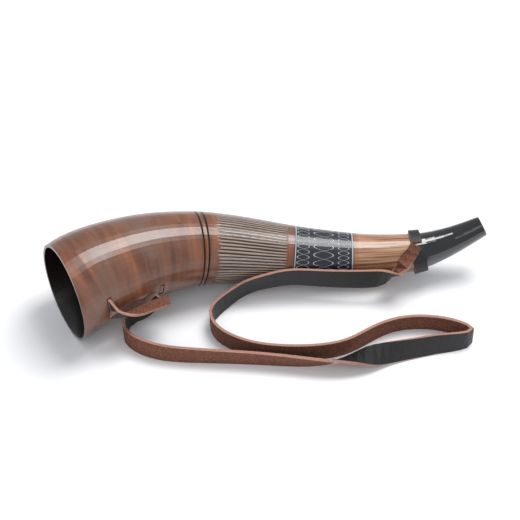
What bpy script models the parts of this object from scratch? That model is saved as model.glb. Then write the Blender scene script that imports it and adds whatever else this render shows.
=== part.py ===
"""Ox blowing horn: a hollow curved horn, a glued mouthpiece and one leather strap in three stretches.

Metres, +Z up. The horn lies on its bell rim and its belly, the bell to -X and the tip to +X, and the
origin is under the middle of the rigid pieces. Sizes are named in millimetres and turned into metres
where a mesh is made.
"""

import bmesh
import bpy
import numpy as np
from mathutils import Matrix, Vector

MM = 0.001

# Driving sizes of the horn, in millimetres
HORN_STATIONS = (
    # x, y, z of the middle of the section, and its outer radius, from the bell to the tip
    (-173.6, -63.4, 45.5, 45.4),
    (-153.4, -47.4, 49.0, 43.8),
    (-127.9, -32.4, 49.6, 41.7),
    (-100.6, -18.9, 48.2, 38.8),
    (-73.5, -8.7, 44.8, 36.0),
    (-50.8, -2.3, 40.8, 34.0),
    (-23.2, 2.0, 35.3, 31.6),
    (4.6, 3.4, 30.9, 29.1),
    (32.7, 3.3, 27.9, 26.4),
    (60.8, 3.0, 26.6, 23.9),
    (84.1, 2.7, 26.2, 21.7),
    (107.5, 2.9, 26.7, 19.9),
    (130.8, 3.5, 28.4, 18.4),
    (149.3, 4.7, 31.1, 16.9),
    (167.6, 7.6, 36.0, 14.6),
    (185.8, 11.2, 42.9, 12.2),
    (206.5, 15.8, 52.7, 9.6),
)
MOUTH_NORMAL = (-0.865, -0.499, 0.023)
MOUTH_BLEND = 45.0
BELL_WALL = 2.6
NECK_BORE_RADIUS = 5.0
CAVITY_END = 235.0
CAVITY_WALL = 9.0
RING_GROOVES = (129.5, 134.5)
GROOVE_DEPTH = 1.0
GROOVE_HALF_WIDTH = 0.9
BAND_START = 222.8
BAND_END = 276.6
BAND_BEAD_HEIGHT = 0.6
BAND_BEAD_HALF_WIDTH = 0.8
HORN_SEGMENTS = 56

# Mouthpiece and its glued tenon
NECK_JOINT = 338.5
SOCKET_RADIUS = 9.0
SOCKET_DEPTH = 20.0
GLUE_GAP = 0.3
TENON_SHORTER = 1.0
CUP_RADIUS = 7.2
CUP_DEPTH = 8.0
THROAT_RADIUS = 2.4
RIM_ROUND = 0.8

# Strap
STRAP_END_WIDTH = 11.0
STRAP_THICKNESS = 2.7
STRAP_CLEARANCE = 0.4
HOLD_OFF_CLEARANCE = 0.9
HOLD_OFF_STEP = 2.0
HOLD_OFF_ROUNDS = 6
COLLAR_MIDDLE = NECK_JOINT
COLLAR_START_ANGLE = 148.0
COLLAR_SWEEP = 346.0
SLOT_STATIONS = (26.0, 84.0)
SLOT_ANGLES = (95.0, 78.0)
SLOT_LENGTH = 14.5
SLOT_OPENING = 4.4
BRIDGE_DEPTH = 1.5
BRIDGE_BAR_RADIUS = 50.0
BRIDGE_ANGLE = 66.0
BRIDGE_BAR_LENGTH = 34.0
SLOT_CUT_REACH = 16.0
INSIDE_TURN = 6.0
SLOT_PAST_WALL = 2.0
INSIDE_CLEARANCE = 1.2
SLOT_PAST_SKIN = 1.5

# Steps between the rounds of each skin
OUTER_STEP = 9.0
INNER_STEP = 16.0
TIP_STEP = 9.0
STRAP_STEP = 7.0

# The strap's free stretch, from the collar to the slot by the bell, chosen by hand:
# x, y, z of its middle, its turn about its own length from standing upright, and its width
RUN_STATIONS = (
    (143.0, -5.6, 47.6, -128.0, 11.0),
    (138.3, -11.6, 43.2, -118.0, 11.5),
    (132.7, -17.0, 38.0, -98.0, 12.5),
    (125.3, -21.5, 31.5, -52.0, 16.0),
    (115.0, -24.5, 27.0, -8.0, 19.0),
    (100.0, -26.5, 25.5, 8.0, 19.0),
    (61.7, -25.8, 25.5, 5.0, 19.0),
    (29.0, -25.4, 27.3, 0.0, 19.0),
    (12.9, -27.2, 25.5, -2.0, 19.0),
    (-4.3, -29.6, 22.0, -8.0, 19.0),
    (-19.0, -32.5, 15.5, -6.0, 19.0),
    (-33.0, -42.0, 11.0, 2.0, 19.0),
    (-42.5, -54.0, 9.8, 4.0, 19.0),
    (-44.0, -66.0, 9.8, 2.0, 19.0),
    (-36.0, -81.0, 9.8, 0.0, 19.0),
    (-17.0, -93.5, 9.8, 0.0, 19.0),
    (5.0, -100.0, 9.8, 0.0, 19.0),
    (30.0, -102.0, 9.8, 0.0, 19.0),
    (55.0, -100.5, 9.8, 0.0, 19.0),
    (78.0, -94.0, 9.8, 0.0, 19.0),
    (97.0, -82.0, 9.8, 0.0, 19.0),
    (115.0, -71.5, 9.8, 4.0, 19.0),
    (135.0, -66.0, 9.8, 6.0, 19.0),
    (158.0, -66.5, 9.8, 6.0, 19.0),
    (177.0, -72.0, 9.8, 4.0, 19.0),
    (189.0, -80.5, 9.8, 2.0, 19.0),
    (182.0, -87.5, 9.8, 8.0, 19.0),
    (160.0, -91.5, 9.6, 18.0, 19.0),
    (135.0, -97.0, 9.6, 24.0, 19.0),
    (108.0, -103.5, 9.8, 50.0, 19.0),
    (86.0, -109.5, 10.2, 108.0, 19.0),
    (64.0, -113.0, 10.2, 142.0, 19.0),
    (38.0, -112.5, 9.8, 160.0, 19.0),
    (6.0, -109.5, 9.8, 168.0, 19.0),
    (-28.0, -107.0, 9.8, 172.0, 19.0),
    (-62.0, -105.0, 9.8, 177.0, 19.0),
    (-88.0, -101.5, 9.8, 181.0, 19.0),
    (-107.0, -94.0, 9.8, 182.0, 19.0),
    (-119.5, -83.0, 9.8, 180.0, 19.0),
    (-121.5, -71.0, 11.0, 180.0, 18.5),
    (-115.0, -63.0, 16.0, 182.0, 16.5),
    (-106.0, -60.5, 23.5, 184.0, 14.0),
    (-97.0, -60.0, 31.5, 184.0, 12.0),
    (-90.0, -60.5, 37.5, 182.0, 11.0),
)

# The loose tail outside the slot by the bell, chosen by hand in the same way
TAIL_STATIONS = (
    (-127.0, -89.5, 46.5, 196.0, 11.0),
    (-121.0, -86.5, 41.5, 218.0, 11.0),
    (-113.0, -81.0, 37.4, 246.0, 11.0),
    (-103.5, -75.6, 36.4, 264.0, 11.0),
    (-92.0, -70.6, 38.0, 270.0, 11.0),
    (-80.0, -67.0, 39.5, 270.0, 11.0),
)


def clear_scene():
    for obj in list(bpy.data.objects):
        bpy.data.objects.remove(obj)


def natural_spline(values):
    """Second differences of a natural cubic through equally weighted knots, one column per coordinate."""
    count = len(values)
    matrix = np.zeros((count, count))
    right = np.zeros_like(values)
    matrix[0, 0] = matrix[-1, -1] = 1.0
    for i in range(1, count - 1):
        matrix[i, i - 1 : i + 2] = (1.0, 4.0, 1.0)
        right[i] = 6.0 * (values[i + 1] - 2.0 * values[i] + values[i - 1])
    return np.linalg.solve(matrix, right)


class Track:
    """A smooth curve through stations, read by its length in millimetres from the first one."""

    FINE = 24

    def __init__(self, stations):
        self.knots = np.array(stations, float)
        self.bend = natural_spline(self.knots)
        steps = (len(self.knots) - 1) * self.FINE
        self.params = np.linspace(0.0, len(self.knots) - 1.0, steps + 1)
        rows = np.array([self.at_param(t) for t in self.params])
        pieces = np.linalg.norm(np.diff(rows[:, :3], axis=0), axis=1)
        self.lengths = np.concatenate([[0.0], np.cumsum(pieces)])
        self.length = float(self.lengths[-1])

    def at_param(self, t):
        i = min(int(t), len(self.knots) - 2)
        b = t - i
        a = 1.0 - b
        curve = (a**3 - a) * self.bend[i] + (b**3 - b) * self.bend[i + 1]
        return a * self.knots[i] + b * self.knots[i + 1] + curve / 6.0

    def at(self, length):
        return self.at_param(float(np.interp(length, self.lengths, self.params)))

    def heading(self, length, reach=0.5):
        low = max(0.0, length - reach)
        high = min(self.length, length + reach)
        step = self.at(high)[:3] - self.at(low)[:3]
        return step / np.linalg.norm(step)


def section_frame(track, length):
    """Middle, bell-ward normal, down and side directions, and outer radius of the horn's section there."""
    row = track.at(length)
    normal = -track.heading(length)
    mouth = np.array(MOUTH_NORMAL) / np.linalg.norm(MOUTH_NORMAL)
    share = max(0.0, 1.0 - length / MOUTH_BLEND)
    normal = (1.0 - share) * normal + share * mouth
    normal /= np.linalg.norm(normal)
    down = np.array((0.0, 0.0, -1.0))
    down = down - normal * float(down @ normal)
    down /= np.linalg.norm(down)
    side = np.cross(normal, down)
    return row[:3], normal, down, side, float(row[3])


def section_point(track, length, angle, radius):
    """A point on the section: angle in degrees from straight down, towards -Y."""
    middle, _, down, side, _ = section_frame(track, length)
    turn = np.radians(angle)
    return middle + radius * (np.cos(turn) * down + np.sin(turn) * side)


def section_matrix(track, length):
    middle, normal, down, side, _ = section_frame(track, length)
    columns = Matrix((down, side, -normal)).transposed().to_4x4()
    return Matrix.Translation(Vector(middle) * MM) @ columns


def bump(length, middle, half_width):
    """One at the middle, falling straight to nothing at the half width."""
    return max(0.0, 1.0 - abs(length - middle) / half_width)


def outer_radius(track, length):
    radius = track.at(length)[3]
    for groove in RING_GROOVES:
        radius -= GROOVE_DEPTH * bump(length, groove, GROOVE_HALF_WIDTH)
    for bead in (BAND_START, BAND_END):
        radius += BAND_BEAD_HEIGHT * bump(length, bead, BAND_BEAD_HALF_WIDTH)
    return radius


def cavity_radius(track, length):
    """The natural hollow: thin at the bell, thicker towards the drilled neck."""
    share = min(1.0, length / CAVITY_END)
    wall = BELL_WALL + (CAVITY_WALL - BELL_WALL) * share**0.9
    return max(NECK_BORE_RADIUS, track.at(length)[3] - wall)


def turned_shape(name, track, profile, collection):
    """A closed skin through round sections: profile is (length, radius) rows that run all the way round."""
    mesh = bmesh.new()
    rings = []
    for length, radius in profile:
        made = bmesh.ops.create_circle(
            mesh,
            segments=HORN_SEGMENTS,
            radius=radius * MM,
            matrix=section_matrix(track, length),
        )
        rings.append(made["verts"])
    for ring, following in zip(rings, rings[1:] + rings[:1]):
        for i in range(HORN_SEGMENTS):
            j = (i + 1) % HORN_SEGMENTS
            mesh.faces.new((ring[i], ring[j], following[j], following[i]))
    bmesh.ops.recalc_face_normals(mesh, faces=mesh.faces)
    return finished(name, mesh, collection)


def finished(name, mesh, collection):
    data = bpy.data.meshes.new(name)
    mesh.to_mesh(data)
    mesh.free()
    obj = bpy.data.objects.new(name, data)
    collection.objects.link(obj)
    data.shade_smooth()
    data.set_sharp_from_angle(angle=np.radians(40.0))
    return obj


def horn_lengths(start, end, step, extra):
    count = max(1, round((end - start) / step))
    grid = [start + (end - start) * i / count for i in range(count + 1)]
    kept = [g for g in grid[1:-1] if all(abs(g - e) > 0.3 * step for e in extra)]
    return sorted({start, end, *kept, *[e for e in extra if start < e < end]})


def feature_lengths():
    found = []
    for middle in RING_GROOVES:
        found += [middle - GROOVE_HALF_WIDTH, middle, middle + GROOVE_HALF_WIDTH]
    for middle in (BAND_START, BAND_END):
        found += [
            middle - BAND_BEAD_HALF_WIDTH,
            middle,
            middle + BAND_BEAD_HALF_WIDTH,
        ]
    return found


def make_horn(track, collection, cutters):
    outside = horn_lengths(0.0, NECK_JOINT, OUTER_STEP, feature_lengths())
    profile = [(at, outer_radius(track, at)) for at in reversed(outside)]
    inside = horn_lengths(0.0, NECK_JOINT - SOCKET_DEPTH, INNER_STEP, [])
    profile += [(at, cavity_radius(track, at)) for at in inside]
    profile += [
        (NECK_JOINT - SOCKET_DEPTH, SOCKET_RADIUS),
        (NECK_JOINT, SOCKET_RADIUS),
    ]
    horn = turned_shape("horn_body", track, profile, collection)
    for cutter in strap_cutters(track, cutters):
        cut = horn.modifiers.new(cutter.name, "BOOLEAN")
        cut.operation = "DIFFERENCE"
        cut.solver = "EXACT"
        cut.object = cutter
    return horn


def hidden(obj):
    obj.hide_render = True
    obj.display_type = "WIRE"
    return obj


def radial_matrix(track, length, angle, radius):
    """X outwards from the horn's middle, Y along the horn towards the tip, Z round it."""
    _, normal, _, _, _ = section_frame(track, length)
    middle = section_point(track, length, angle, 0.0)
    place = section_point(track, length, angle, radius)
    outwards = Vector(place - middle).normalized()
    along = Vector(-normal)
    around = outwards.cross(along)
    columns = Matrix((outwards, along, around)).transposed().to_4x4()
    return Matrix.Translation(Vector(place) * MM) @ columns


def slot_cutter(track, name, length, angle, collection):
    """A short square-ended slot round the horn, through its wall."""
    mesh = bmesh.new()
    bmesh.ops.create_cube(mesh, size=1.0)
    reach = SLOT_CUT_REACH
    size = Vector((reach, SLOT_OPENING, SLOT_LENGTH)) * MM
    bmesh.ops.scale(mesh, vec=size, verts=mesh.verts)
    radius = track.at(length)[3] - 0.3 * reach
    mesh.transform(radial_matrix(track, length, angle, radius))
    return hidden(finished(name, mesh, collection))


def bridge_cutter(track, collection):
    """A wide round bar that scoops the outside flat between the two slots."""
    first, last = SLOT_STATIONS
    length = 0.5 * (first + last)
    radius = BRIDGE_BAR_RADIUS
    mesh = bmesh.new()
    bmesh.ops.create_cone(
        mesh,
        cap_ends=True,
        segments=160,
        radius1=radius * MM,
        radius2=radius * MM,
        depth=BRIDGE_BAR_LENGTH * MM,
    )
    out = track.at(length)[3] - BRIDGE_DEPTH + radius
    mesh.transform(radial_matrix(track, length, BRIDGE_ANGLE, out))
    return hidden(finished("bridge_cutter", mesh, collection))


def strap_cutters(track, collection):
    names = ("bell_slot_cutter", "inner_slot_cutter")
    places = zip(names, SLOT_STATIONS, SLOT_ANGLES)
    made = [slot_cutter(track, name, at, turn, collection) for name, at, turn in places]
    return [bridge_cutter(track, collection), *made]


def make_mouthpiece(track, collection):
    """Black horn: a tenon in the neck, a tapered outside, and a cup and throat at the flat rim."""
    tip = track.length
    tenon_end = NECK_JOINT - SOCKET_DEPTH + TENON_SHORTER
    tenon_radius = SOCKET_RADIUS - GLUE_GAP
    shoulder = NECK_JOINT + GLUE_GAP
    outside = horn_lengths(shoulder, tip - RIM_ROUND, TIP_STEP, [])
    profile = [(tenon_end, THROAT_RADIUS + 1.0), (tenon_end, tenon_radius)]
    profile += [(shoulder, tenon_radius)]
    profile += [(at, track.at(at)[3]) for at in outside]
    profile += [(tip, track.at(tip)[3] - RIM_ROUND)]
    profile += [(tip, CUP_RADIUS)]
    steps = 5
    for i in range(1, steps + 1):
        turn = 0.5 * np.pi * i / steps
        deep = CUP_DEPTH * np.sin(turn)
        wide = THROAT_RADIUS + (CUP_RADIUS - THROAT_RADIUS) * np.cos(turn)
        profile.append((tip - deep, wide))
    middle = 0.5 * (tip + tenon_end)
    profile += [(middle, THROAT_RADIUS + 0.4)]
    return turned_shape("mouthpiece", track, profile, collection)


def ribbon(name, pairs, collection):
    """A flat strip: an edge drawn along pairs of points, then thickened evenly both ways."""
    mesh = bmesh.new()
    first, second = (mesh.verts.new(Vector(point) * MM) for point in pairs[0])
    edge = mesh.edges.new((first, second))
    for start, end in pairs[1:]:
        grown = bmesh.ops.extrude_edge_only(mesh, edges=[edge])["geom"]
        fresh = [item for item in grown if isinstance(item, bmesh.types.BMVert)]
        fresh.sort(key=lambda vert: (vert.co - first.co).length)
        first, second = fresh
        edge = mesh.edges.get((first, second))
        first.co = Vector(start) * MM
        second.co = Vector(end) * MM
    obj = finished(name, mesh, collection)
    skin = obj.modifiers.new("thickness", "SOLIDIFY")
    skin.thickness = STRAP_THICKNESS * MM
    skin.offset = 0.0
    skin.use_even_offset = True
    return obj


def turned_pair(middle, heading, turn, width):
    """The two edges of a strap there: upright at a turn of nothing, turned about its heading."""
    upright = np.array((0.0, 0.0, 1.0))
    upright -= heading * float(upright @ heading)
    upright /= np.linalg.norm(upright)
    sideways = np.cross(heading, upright)
    angle = np.radians(turn)
    across = np.cos(angle) * upright + np.sin(angle) * sideways
    return middle - 0.5 * width * across, middle + 0.5 * width * across


def strap_pairs(stations, step):
    track = Track(stations)
    count = round(track.length / step)
    pairs = []
    for i in range(count + 1):
        length = track.length * i / count
        row = track.at(length)
        pairs.append(turned_pair(row[:3], track.heading(length), row[3], row[4]))
    return pairs, track.length


def slot_pair(track, length, angle, radius):
    """The strap's two edges where it stands across a slot at that radius."""
    half = np.degrees(0.5 * STRAP_END_WIDTH / track.at(length)[3])
    ends = [section_point(track, length, angle + turn, radius) for turn in (half, -half)]
    return tuple(ends)


def make_collar(track, collection):
    """The strap's end, bent into a nearly closed ring round the neck, over the joint."""
    half = 0.5 * STRAP_END_WIDTH
    clear = STRAP_CLEARANCE + 0.5 * STRAP_THICKNESS
    steps = 44
    pairs = []
    for i in range(steps + 1):
        angle = COLLAR_START_ANGLE - COLLAR_SWEEP * i / steps
        pair = []
        for length in (COLLAR_MIDDLE - half, COLLAR_MIDDLE + half):
            radius = track.at(length)[3] + clear
            pair.append(section_point(track, length, angle, radius))
        pairs.append(pair)
    return ribbon("strap_collar", pairs, collection)


def held_off(track, pair):
    """Moves a strap's pair of edges straight out of the horn until it clears the skin or the collar."""
    samples = np.arange(0.0, track.length, HOLD_OFF_STEP)
    rows = np.array([track.at(length) for length in samples])
    pair = [np.array(point, float) for point in pair]
    for _ in range(HOLD_OFF_ROUNDS):
        worst = 0.0
        push = np.zeros(3)
        for share in (0.0, 0.25, 0.5, 0.75, 1.0):
            point = (1.0 - share) * pair[0] + share * pair[1]
            away = point - rows[:, :3]
            distances = np.linalg.norm(away, axis=1)
            near = int(np.argmin(distances - rows[:, 3]))
            need = rows[near, 3] + 0.5 * STRAP_THICKNESS + HOLD_OFF_CLEARANCE
            if abs(samples[near] - COLLAR_MIDDLE) < 0.5 * STRAP_END_WIDTH + STRAP_THICKNESS:
                need += STRAP_CLEARANCE + STRAP_THICKNESS
            short = need - distances[near]
            if short > worst:
                worst = short
                push = away[near] / distances[near] * short
        pair = [point + push for point in pair]
    return tuple(pair)


def make_run(track, collection):
    pairs, length = strap_pairs(RUN_STATIONS, STRAP_STEP)
    pairs = [held_off(track, pair) for pair in pairs]
    return ribbon("strap_run", pairs, collection), length


def make_tail(track, collection):
    """The strap's narrow end: in through one slot, along the inside of the bridge, out, and the tail."""
    bell_slot, inner_slot = SLOT_STATIONS
    bell_angle, inner_angle = SLOT_ANGLES
    surface = track.at(inner_slot)[3]
    pairs = []
    through = cavity_radius(track, inner_slot) - SLOT_PAST_WALL
    for radius in (surface - 0.3, through):
        pairs.append(slot_pair(track, inner_slot, inner_angle, radius))
    steps = 6
    for i in range(steps + 1):
        share = i / steps
        length = inner_slot - INSIDE_TURN + share * (bell_slot - inner_slot + 2.0 * INSIDE_TURN)
        angle = inner_angle + share * (bell_angle - inner_angle)
        radius = cavity_radius(track, length) - 0.5 * STRAP_THICKNESS - STRAP_CLEARANCE - INSIDE_CLEARANCE
        pairs.append(slot_pair(track, length, angle, radius))
    surface = track.at(bell_slot)[3]
    through = cavity_radius(track, bell_slot) - SLOT_PAST_WALL
    for radius in (through, surface + SLOT_PAST_SKIN):
        pairs.append(slot_pair(track, bell_slot, bell_angle, radius))
    tail, _ = strap_pairs(TAIL_STATIONS, STRAP_STEP)
    tail = [held_off(track, pair) for pair in tail]
    return ribbon("strap_tail", [*pairs, *tail], collection)


def material(name, color, roughness):
    made = bpy.data.materials.new(name)
    made.use_nodes = True
    shader = made.node_tree.nodes["Principled BSDF"]
    shader.inputs["Base Color"].default_value = (*color, 1.0)
    shader.inputs["Roughness"].default_value = roughness
    shader.inputs["Metallic"].default_value = 0.0
    made.diffuse_color = (*color, 1.0)
    return made


def rest_over_origin(root, rigid):
    """Moves everything so that the middle of the rigid pieces' foot is at the origin."""
    bpy.context.view_layer.update()
    graph = bpy.context.evaluated_depsgraph_get()
    corners = []
    for obj in rigid:
        mesh = obj.evaluated_get(graph).to_mesh()
        corners += [obj.matrix_world @ vert.co for vert in mesh.vertices]
    points = np.array(corners)
    low = points.min(axis=0)
    high = points.max(axis=0)
    root.location = (-0.5 * (low[0] + high[0]), -0.5 * (low[1] + high[1]), -low[2])
    return np.array(root.location)


def main():
    clear_scene()
    parts = bpy.data.collections.new("ox_horn")
    cutters = bpy.data.collections.new("cutters")
    for collection in (parts, cutters):
        bpy.context.scene.collection.children.link(collection)
    track = Track(HORN_STATIONS)
    horn = make_horn(track, parts, cutters)
    mouthpiece = make_mouthpiece(track, parts)
    collar = make_collar(track, parts)
    run, run_length = make_run(track, parts)
    tail = make_tail(track, parts)
    horn.data.materials.append(material("horn", (0.42, 0.22, 0.11), 0.35))
    mouthpiece.data.materials.append(material("black_horn", (0.01, 0.015, 0.022), 0.12))
    for strap in (collar, run, tail):
        strap.data.materials.append(material(f"{strap.name}_leather", (0.05, 0.045, 0.05), 0.6))
    root = bpy.data.objects.new("ox_horn_root", None)
    parts.objects.link(root)
    for obj in (*parts.objects, *cutters.objects):
        if obj is not root:
            obj.parent = root
    shift = rest_over_origin(root, (horn, mouthpiece, collar))
    bpy.context.view_layer.update()
    report(track, shift / MM, run_length)


def report(track, shift, run_length):
    """Prints the places and lengths that the part's record gives."""
    middle, normal, _, _, _ = section_frame(track, COLLAR_MIDDLE)
    print("collar middle", np.round(middle + shift, 2), "axis", np.round(-normal, 4))
    _, mouth, _, _, radius = section_frame(track, 0.0)
    rim = section_point(track, 0.0, 180.0, radius - 0.5 * BELL_WALL)
    print("bell rim point", np.round(rim + shift, 2), "normal", np.round(mouth, 4))
    tip = track.length
    _, back, _, _, radius = section_frame(track, tip)
    rim = section_point(track, tip, 180.0, 0.5 * (radius - RIM_ROUND + CUP_RADIUS))
    print("mouth rim point", np.round(rim + shift, 2), "normal", np.round(-back, 4))
    print("shift", np.round(shift, 3), "horn length", round(tip, 1), "run", round(run_length, 1))


main()
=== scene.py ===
# %% [markdown]
# The looks of an ox blowing horn: horn, black mouthpiece and leather strap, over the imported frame.

import math

import bpy
import numpy as np
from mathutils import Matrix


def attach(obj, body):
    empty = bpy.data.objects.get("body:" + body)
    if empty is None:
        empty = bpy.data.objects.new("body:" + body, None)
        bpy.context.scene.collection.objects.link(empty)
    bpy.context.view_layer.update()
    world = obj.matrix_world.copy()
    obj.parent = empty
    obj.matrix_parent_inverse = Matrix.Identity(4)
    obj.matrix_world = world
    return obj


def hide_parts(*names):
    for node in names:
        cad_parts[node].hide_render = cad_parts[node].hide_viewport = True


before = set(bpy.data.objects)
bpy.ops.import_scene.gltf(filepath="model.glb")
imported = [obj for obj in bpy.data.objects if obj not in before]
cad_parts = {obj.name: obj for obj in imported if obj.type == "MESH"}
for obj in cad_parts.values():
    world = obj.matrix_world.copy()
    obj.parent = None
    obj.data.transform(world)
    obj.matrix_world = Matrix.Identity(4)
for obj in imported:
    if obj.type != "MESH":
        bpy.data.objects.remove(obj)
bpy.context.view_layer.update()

MM = 0.001
# From the frame that the stations are written in to the part's own, in millimetres
SHIFT = np.array((-7.194, 34.6, -0.112))

# %% [markdown]
# The camera looks down at 45 degrees from 1.15 m.

# %%
CAMERA_PLACE = (0.0, -813.2, 836.6)
CAMERA_TILT = 45.0
CAMERA_LENS = 85.15


def make_camera():
    data = bpy.data.cameras.new("camera")
    data.lens = CAMERA_LENS
    data.sensor_width = 36.0
    camera = bpy.data.objects.new("camera", data)
    camera.location = (np.array(CAMERA_PLACE) + SHIFT) * MM
    camera.rotation_euler = (math.radians(CAMERA_TILT), 0.0, 0.0)
    bpy.context.scene.collection.objects.link(camera)
    bpy.context.scene.camera = camera


make_camera()

# %% [markdown]
# Stations, repeated from part.py: the horn's middle with its radius, and the strap with its turn and width.

# %%
HORN_STATIONS = (
    # x, y, z of the middle of the section, and its outer radius, from the bell to the tip
    (-173.6, -63.4, 45.5, 45.4),
    (-153.4, -47.4, 49.0, 43.8),
    (-127.9, -32.4, 49.6, 41.7),
    (-100.6, -18.9, 48.2, 38.8),
    (-73.5, -8.7, 44.8, 36.0),
    (-50.8, -2.3, 40.8, 34.0),
    (-23.2, 2.0, 35.3, 31.6),
    (4.6, 3.4, 30.9, 29.1),
    (32.7, 3.3, 27.9, 26.4),
    (60.8, 3.0, 26.6, 23.9),
    (84.1, 2.7, 26.2, 21.7),
    (107.5, 2.9, 26.7, 19.9),
    (130.8, 3.5, 28.4, 18.4),
    (149.3, 4.7, 31.1, 16.9),
    (167.6, 7.6, 36.0, 14.6),
    (185.8, 11.2, 42.9, 12.2),
    (206.5, 15.8, 52.7, 9.6),
)

RUN_STATIONS = (
    (143.0, -5.6, 47.6, -128.0, 11.0),
    (138.3, -11.6, 43.2, -118.0, 11.5),
    (132.7, -17.0, 38.0, -98.0, 12.5),
    (125.3, -21.5, 31.5, -52.0, 16.0),
    (115.0, -24.5, 27.0, -8.0, 19.0),
    (100.0, -26.5, 25.5, 8.0, 19.0),
    (61.7, -25.8, 25.5, 5.0, 19.0),
    (29.0, -25.4, 27.3, 0.0, 19.0),
    (12.9, -27.2, 25.5, -2.0, 19.0),
    (-4.3, -29.6, 22.0, -8.0, 19.0),
    (-19.0, -32.5, 15.5, -6.0, 19.0),
    (-33.0, -42.0, 11.0, 2.0, 19.0),
    (-42.5, -54.0, 9.8, 4.0, 19.0),
    (-44.0, -66.0, 9.8, 2.0, 19.0),
    (-36.0, -81.0, 9.8, 0.0, 19.0),
    (-17.0, -93.5, 9.8, 0.0, 19.0),
    (5.0, -100.0, 9.8, 0.0, 19.0),
    (30.0, -102.0, 9.8, 0.0, 19.0),
    (55.0, -100.5, 9.8, 0.0, 19.0),
    (78.0, -94.0, 9.8, 0.0, 19.0),
    (97.0, -82.0, 9.8, 0.0, 19.0),
    (115.0, -71.5, 9.8, 4.0, 19.0),
    (135.0, -66.0, 9.8, 6.0, 19.0),
    (158.0, -66.5, 9.8, 6.0, 19.0),
    (177.0, -72.0, 9.8, 4.0, 19.0),
    (189.0, -80.5, 9.8, 2.0, 19.0),
    (182.0, -87.5, 9.8, 8.0, 19.0),
    (160.0, -91.5, 9.6, 18.0, 19.0),
    (135.0, -97.0, 9.6, 24.0, 19.0),
    (108.0, -103.5, 9.8, 50.0, 19.0),
    (86.0, -109.5, 10.2, 108.0, 19.0),
    (64.0, -113.0, 10.2, 142.0, 19.0),
    (38.0, -112.5, 9.8, 160.0, 19.0),
    (6.0, -109.5, 9.8, 168.0, 19.0),
    (-28.0, -107.0, 9.8, 172.0, 19.0),
    (-62.0, -105.0, 9.8, 177.0, 19.0),
    (-88.0, -101.5, 9.8, 181.0, 19.0),
    (-107.0, -94.0, 9.8, 182.0, 19.0),
    (-119.5, -83.0, 9.8, 180.0, 19.0),
    (-121.5, -71.0, 11.0, 180.0, 18.5),
    (-115.0, -63.0, 16.0, 182.0, 16.5),
    (-106.0, -60.5, 23.5, 184.0, 14.0),
    (-97.0, -60.0, 31.5, 184.0, 12.0),
    (-90.0, -60.5, 37.5, 182.0, 11.0),
)

TAIL_STATIONS = (
    (-127.0, -89.5, 46.5, 196.0, 11.0),
    (-121.0, -86.5, 41.5, 218.0, 11.0),
    (-113.0, -81.0, 37.4, 246.0, 11.0),
    (-103.5, -75.6, 36.4, 264.0, 11.0),
    (-92.0, -70.6, 38.0, 270.0, 11.0),
    (-80.0, -67.0, 39.5, 270.0, 11.0),
)


class Track:
    """A smooth curve through stations, sampled evenly enough to find the nearest place on it."""

    FINE = 24

    def __init__(self, stations):
        knots = np.array(stations, float)
        knots[:, :3] += SHIFT
        count = len(knots)
        matrix = np.eye(count)
        right = np.zeros_like(knots)
        for i in range(1, count - 1):
            matrix[i, i - 1 : i + 2] = (1.0, 4.0, 1.0)
            right[i] = 6.0 * (knots[i + 1] - 2.0 * knots[i] + knots[i - 1])
        bend = np.linalg.solve(matrix, right)
        rows = []
        for step in range((count - 1) * self.FINE + 1):
            i = min(step // self.FINE, count - 2)
            b = step / self.FINE - i
            a = 1.0 - b
            curve = (a**3 - a) * bend[i] + (b**3 - b) * bend[i + 1]
            rows.append(a * knots[i] + b * knots[i + 1] + curve / 6.0)
        self.rows = np.array(rows)
        pieces = np.linalg.norm(np.diff(self.rows[:, :3], axis=0), axis=1)
        self.lengths = np.concatenate([[0.0], np.cumsum(pieces)])
        self.headings = np.gradient(self.rows[:, :3], axis=0)
        self.headings /= np.linalg.norm(self.headings, axis=1)[:, None]

    def nearest(self, point):
        return int(np.argmin(np.linalg.norm(self.rows[:, :3] - point, axis=1)))


horn_track = Track(HORN_STATIONS)
run_track = Track(RUN_STATIONS)
tail_track = Track(TAIL_STATIONS)

# %% [markdown]
# Material helpers.

# %%


def tone(red, green, blue):
    """A colour given as red, green and blue up to 255, turned into the linear values that nodes use."""
    parts = []
    for value in (red, green, blue):
        share = value / 255.0
        parts.append(share / 12.92 if share <= 0.04045 else ((share + 0.055) / 1.055) ** 2.4)
    return (*parts, 1.0)


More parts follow.
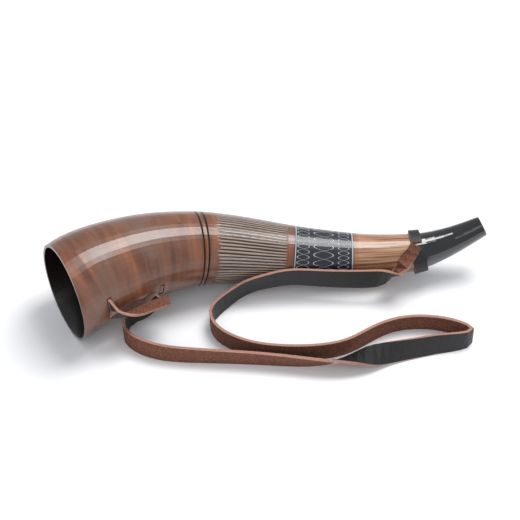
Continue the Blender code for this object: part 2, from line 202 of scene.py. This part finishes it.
class Recipe:
    """A material's node tree with short calls for sums, mixes and noise."""

    def __init__(self, name, roughness, coat=0.0):
        self.material = bpy.data.materials.new(name)
        self.material.use_nodes = True
        self.nodes = self.material.node_tree.nodes
        self.links = self.material.node_tree.links
        self.shader = self.nodes["Principled BSDF"]
        self.shader.inputs["Roughness"].default_value = roughness
        self.shader.inputs["Coat Weight"].default_value = coat
        self.shader.inputs["Coat Roughness"].default_value = 0.06

    def put(self, socket, value):
        if isinstance(value, bpy.types.NodeSocket):
            self.links.new(value, socket)
        else:
            socket.default_value = value

    def sum(self, operation, first, second=0.0, third=0.0):
        node = self.nodes.new("ShaderNodeMath")
        node.operation = operation
        for socket, value in zip(node.inputs, (first, second, third)):
            self.put(socket, value)
        return node.outputs[0]

    def between(self, value, low, high, soft=0.6):
        up = self.ramp(value, low - soft, low + soft)
        down = self.ramp(value, high + soft, high - soft)
        return self.sum("MULTIPLY", up, down)

    def ramp(self, value, start, end):
        node = self.nodes.new("ShaderNodeMapRange")
        for place, item in enumerate((value, start, end)):
            self.put(node.inputs[place], item)
        return node.outputs[0]

    def mix(self, share, first, second):
        node = self.nodes.new("ShaderNodeMix")
        node.data_type = "RGBA"
        self.put(node.inputs[0], share)
        self.put(node.inputs[6], first)
        self.put(node.inputs[7], second)
        return node.outputs[2]

    def read(self, name):
        node = self.nodes.new("ShaderNodeAttribute")
        node.attribute_name = name
        return node.outputs["Fac"]

    def place(self, x, y, z=0.0):
        node = self.nodes.new("ShaderNodeCombineXYZ")
        for socket, value in zip(node.inputs, (x, y, z)):
            self.put(socket, value)
        return node.outputs[0]

    def noise(self, vector, scale, detail=4.0):
        node = self.nodes.new("ShaderNodeTexNoise")
        node.inputs["Scale"].default_value = scale
        node.inputs["Detail"].default_value = detail
        self.put(node.inputs["Vector"], vector)
        return node.outputs["Fac"]

    def object_place(self):
        return self.nodes.new("ShaderNodeTexCoord").outputs["Object"]

    def bump(self, height, distance, strength=1.0):
        node = self.nodes.new("ShaderNodeBump")
        node.inputs["Strength"].default_value = strength
        node.inputs["Distance"].default_value = distance
        self.put(node.inputs["Height"], height)
        self.put(self.shader.inputs["Normal"], node.outputs[0])

    def color(self, value):
        self.put(self.shader.inputs["Base Color"], value)


# %% [markdown]
# The horn: smooth bell, ring grooves, cut flutes, black carved band and natural neck, by length along it.

# %%
FLUTES_START, FLUTES_END = 144.0, 215.0
FLUTE_COUNT = 64.0
RINGS = (222.8, 276.6)
BRAIDS = ((224.0, 237.0), (262.5, 274.0))
BRAID_REPEATS = 16.0
FIELD = (239.0, 260.5)
FIELD_REPEATS = 10.0
GROOVES = (129.5, 134.5)
GROOVE_HALF_WIDTH = 1.2
FLUTES_RAGGED = 14.0
NECK_FADE_START, NECK_FADE_END = 274.0, 284.0
# How strongly the painted shade darkens the horn's underside
UNDERSIDE_SHADE_SHARE = 0.75
RING_HALF_WIDTH = 0.9
BRAID_HALF_WIDTH = 0.6
FIELD_HALF_WIDTH = 0.7
SWING_SHARE = 0.42
CARVING_DEPTH = 0.0007

BELL_LIGHT = tone(142, 88, 60)
BELL_DARK = tone(78, 46, 34)
BELL_BLOTCH = tone(112, 84, 70)
# Painted shade for the horn's underside
UNDERSIDE_SHADE = tone(46, 30, 24)
NECK_LIGHT = tone(186, 144, 110)
NECK_DARK = tone(118, 74, 50)
FLUTE_LIGHT = tone(164, 144, 130)
# Painted shade for the low parts of the flutes
FLUTE_VALLEY_SHADE = tone(48, 32, 26)
BAND_LINE = tone(205, 208, 214)
BAND_DARK = tone(30, 34, 42)
# Painted shade in the two ring grooves
GROOVE_SHADE = tone(50, 32, 24)
# Painted shade for the inner surfaces of the bell and bore
INSIDE_SHADE = tone(24, 17, 14)


def wave(recipe, around, repeats, phase=0.0):
    turned = recipe.sum("MULTIPLY_ADD", around, repeats * 2.0 * math.pi, phase)
    return recipe.sum("SINE", turned)


def line_along(recipe, length, middle, half_width):
    """One on a line whose middle may wander along the horn, and nothing beside it."""
    off = recipe.sum("ABSOLUTE", recipe.sum("SUBTRACT", length, middle))
    return recipe.ramp(off, half_width, 0.4 * half_width)


def carved_lines(recipe, length, around):
    """The white lines of the band: plain rings, two braids, and a generic lozenge chain between them."""
    lines = [line_along(recipe, length, ring, RING_HALF_WIDTH) for ring in RINGS]
    bands = [(low, high, BRAID_REPEATS, BRAID_HALF_WIDTH) for low, high in BRAIDS]
    bands.append((*FIELD, FIELD_REPEATS, FIELD_HALF_WIDTH))
    for low, high, repeats, half_width in bands:
        for phase in (0.0, math.pi):
            swing = wave(recipe, around, repeats, phase)
            reach = SWING_SHARE * (high - low)
            middle = recipe.sum("MULTIPLY_ADD", swing, reach, 0.5 * (low + high))
            lines.append(line_along(recipe, length, middle, half_width))
    total = lines[0]
    for line in lines[1:]:
        total = recipe.sum("MAXIMUM", total, line)
    return total


def natural_color(recipe, length, around, streaks, fibres):
    """The uncut horn: hooped and blotched at the bell, stranded at the neck, with painted shade underneath.
    """
    blotches = recipe.noise(recipe.object_place(), 32.0, 5.0)
    # Painted shade: strongest at the bottom of the horn, none on its upper half
    underside_shade = recipe.ramp(wave(recipe, around, 1.0, 0.5 * math.pi), 0.1, 1.0)
    smooth = recipe.mix(recipe.ramp(streaks, 0.3, 0.72), BELL_LIGHT, BELL_DARK)
    smooth = recipe.mix(recipe.ramp(blotches, 0.45, 0.7), smooth, BELL_BLOTCH)
    neck = recipe.mix(recipe.ramp(fibres, 0.35, 0.65), NECK_LIGHT, NECK_DARK)
    base = recipe.mix(recipe.ramp(length, NECK_FADE_START, NECK_FADE_END), smooth, neck)
    return recipe.mix(recipe.sum("MULTIPLY", underside_shade, UNDERSIDE_SHADE_SHARE), base, UNDERSIDE_SHADE)


def flutes(recipe, length, around, fibres):
    """Where the flutes are cut, with a ragged start, and how high each place on them is."""
    wander = recipe.sum("MULTIPLY", fibres, 1.6)
    wavy = recipe.sum("MULTIPLY_ADD", wander, 0.006, around)
    flute = recipe.ramp(wave(recipe, wavy, FLUTE_COUNT), -0.5, 0.6)
    chance = recipe.noise(recipe.place(around, 0.0), 30.0)
    ragged = recipe.sum("MULTIPLY_ADD", chance, FLUTES_RAGGED, FLUTES_START - 0.5 * FLUTES_RAGGED)
    begun = recipe.ramp(length, ragged, recipe.sum("ADD", ragged, 4.0))
    ended = recipe.ramp(length, FLUTES_END, FLUTES_END - 3.0)
    return recipe.sum("MULTIPLY", begun, ended), flute


def grooves(recipe, length):
    first, second = (line_along(recipe, length, at, GROOVE_HALF_WIDTH) for at in GROOVES)
    return recipe.sum("MAXIMUM", first, second)


def horn_material():
    recipe = Recipe("polished_horn", 0.28, coat=0.25)
    length = recipe.read("along")
    around = recipe.read("around")
    inner_shade_mask = recipe.read("inner_shade_mask")
    hoops = recipe.place(recipe.sum("MULTIPLY", length, 0.13), recipe.sum("MULTIPLY", around, 4.0))
    streaks = recipe.noise(hoops, 1.0, 6.0)
    strands = recipe.sum("MULTIPLY", around, 60.0)
    fibres = recipe.noise(recipe.place(recipe.sum("MULTIPLY", length, 0.02), strands), 1.0)
    fluted, flute = flutes(recipe, length, around, fibres)
    band = recipe.between(length, RINGS[0] - 1.5, RINGS[1] + 1.0, 1.2)
    carved = carved_lines(recipe, length, around)
    base = natural_color(recipe, length, around, streaks, fibres)
    # The flutes' low parts get painted shade, matching the flute bump height
    base = recipe.mix(fluted, base, recipe.mix(flute, FLUTE_VALLEY_SHADE, FLUTE_LIGHT))
    base = recipe.mix(band, base, recipe.mix(carved, BAND_DARK, BAND_LINE))
    # Painted shade along the two ring grooves
    base = recipe.mix(grooves(recipe, length), base, GROOVE_SHADE)
    # The inner surfaces get painted shade, near-black
    recipe.color(recipe.mix(inner_shade_mask, base, INSIDE_SHADE))
    cut_height = recipe.sum("MULTIPLY", fluted, flute)
    carved_height = recipe.sum("MULTIPLY", band, recipe.sum("MULTIPLY", carved, -1.0))
    height = recipe.sum("ADD", cut_height, carved_height)
    recipe.bump(recipe.sum("MULTIPLY_ADD", streaks, 0.05, height), CARVING_DEPTH)
    return recipe.material


def black_horn_material():
    recipe = Recipe("black_horn", 0.1, coat=1.0)
    cloud = recipe.noise(recipe.object_place(), 60.0)
    recipe.color(recipe.mix(recipe.ramp(cloud, 0.4, 0.75), tone(2, 3, 6), tone(9, 12, 20)))
    recipe.bump(cloud, 0.0001)
    return recipe.material


def leather_material(name, dark, light, roughness, scale):
    recipe = Recipe(name, roughness)
    grain = recipe.noise(recipe.object_place(), scale, 8.0)
    recipe.color(recipe.mix(recipe.ramp(grain, 0.35, 0.7), dark, light))
    recipe.bump(grain, 0.0004)
    return recipe.material


# %% [markdown]
# Every visible piece but the mouthpiece is a copy of its CAD node, with its own finish.

# %%
# How squarely a face looks along the grain side's direction to be grain, or away from it to be flesh
SQUARELY = 0.55
EDGE_ROUND = 0.0005
INNER_DEPTH = 1.3
GRAIN, FLESH, EDGE = range(3)


def copy_of(node, name):
    source = bpy.data.objects[node]
    piece = bpy.data.objects.new(name, source.data.copy())
    bpy.context.scene.collection.objects.link(piece)
    piece.data.materials.clear()
    return piece


def paint_places(piece):
    """Length along the horn, turns round it, and whether the surface is inside, for the horn's material."""
    mesh = piece.data
    along = mesh.attributes.new("along", "FLOAT", "POINT")
    inner_shade_mask = mesh.attributes.new("inner_shade_mask", "FLOAT", "POINT")
    around = mesh.attributes.new("around", "FLOAT", "CORNER")
    turns = []
    for vert in mesh.vertices:
        point = np.array(vert.co) / MM
        at = horn_track.nearest(point)
        away = point - horn_track.rows[at, :3]
        heading = horn_track.headings[at]
        down = np.array((0.0, 0.0, -1.0)) + heading * heading[2]
        down /= np.linalg.norm(down)
        side = np.cross(-heading, down)
        turns.append(math.atan2(away @ side, away @ down) / (2.0 * math.pi))
        along.data[vert.index].value = horn_track.lengths[at]
        # Marks the inner surfaces, which get painted shade
        inner_shade_mask.data[vert.index].value = float(np.linalg.norm(away) < horn_track.rows[at, 3] - INNER_DEPTH)
    for face in mesh.polygons:
        first = turns[face.vertices[0]]
        for corner, vert in zip(face.loop_indices, face.vertices):
            turn = turns[vert]
            around.data[corner].value = turn - round(turn - first)


def grain_direction(track, point):
    at = track.nearest(point)
    heading = track.headings[at]
    upright = np.array((0.0, 0.0, 1.0)) - heading * heading[2]
    upright /= np.linalg.norm(upright)
    angle = math.radians(track.rows[at, 3])
    across = math.cos(angle) * upright + math.sin(angle) * np.cross(heading, upright)
    return np.cross(across, heading)


def outwards(point):
    at = horn_track.nearest(point)
    away = point - horn_track.rows[at, :3]
    away -= horn_track.headings[at] * float(away @ horn_track.headings[at])
    return away / np.linalg.norm(away)


def leather_piece(node, name, grain_side, leathers):
    piece = copy_of(node, name)
    for leather in leathers:
        piece.data.materials.append(leather)
    for face in piece.data.polygons:
        facing = float(np.array(face.normal) @ grain_side(np.array(face.center) / MM))
        face.material_index = GRAIN if facing > SQUARELY else FLESH if facing < -SQUARELY else EDGE
    soften = piece.modifiers.new("soft_edges", "BEVEL")
    soften.width = EDGE_ROUND
    soften.segments = 2
    soften.limit_method = "ANGLE"
    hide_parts(node)
    return piece


def dress_horn():
    piece = copy_of("horn_body", "carved_horn")
    paint_places(piece)
    piece.data.materials.append(horn_material())
    piece.data.shade_smooth()
    piece.data.set_sharp_from_angle(angle=math.radians(40.0))
    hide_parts("horn_body")
    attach(piece, "horn")
    for slot in bpy.data.objects["mouthpiece"].material_slots:
        slot.material = black_horn_material()


def dress_strap():
    leathers = (
        leather_material("leather_grain", tone(12, 12, 14), tone(32, 30, 32), 0.5, 900.0),
        leather_material("leather_flesh", tone(84, 50, 38), tone(140, 88, 66), 0.9, 700.0),
        leather_material("leather_edge", tone(150, 104, 90), tone(188, 146, 130), 0.8, 1200.0),
    )
    run = leather_piece("strap_run", "strap", lambda at: grain_direction(run_track, at), leathers)
    tail = leather_piece("strap_tail", "strap_end", lambda at: grain_direction(tail_track, at), leathers)
    collar = leather_piece("strap_collar", "strap_loop", outwards, leathers)
    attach(run, "horn")
    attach(tail, "horn")
    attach(collar, "collar")


# %% [markdown]
# Floor, world and lights.

# %%


def make_floor():
    bpy.ops.mesh.primitive_plane_add(size=8.0, location=(0.0, 0.0, 0.0))
    floor = bpy.context.object
    floor.name = "floor"
    recipe = Recipe("floor", 0.9)
    recipe.color(tone(250, 250, 252))
    floor.data.materials.append(recipe.material)


def make_lamp(name, place, aim, size, power):
    data = bpy.data.lights.new(name, "AREA")
    data.size = size
    data.energy = power
    lamp = bpy.data.objects.new(name, data)
    lamp.location = place
    way = np.array(aim) - np.array(place)
    pitch = math.atan2(math.hypot(way[0], way[1]), -way[2])
    lamp.rotation_euler = (pitch, 0.0, math.atan2(-way[0], way[1]))
    bpy.context.scene.collection.objects.link(lamp)


def make_world():
    world = bpy.data.worlds.new("world")
    bpy.context.scene.world = world
    world.use_nodes = True
    world.node_tree.nodes["Background"].inputs[0].default_value = (0.95, 0.97, 1.0, 1.0)
    world.node_tree.nodes["Background"].inputs[1].default_value = 0.55
    bpy.context.scene.view_settings.view_transform = "Standard"


dress_horn()
dress_strap()
make_floor()
make_lamp("overhead", (0.35, 0.35, 1.3), (0.0, 0.0, 0.0), 0.7, 15.0)
make_lamp("fill", (-0.3, -1.2, 1.2), (0.0, 0.0, 0.0), 1.2, 5.0)
make_world()

# %%
bpy.context.view_layer.update()
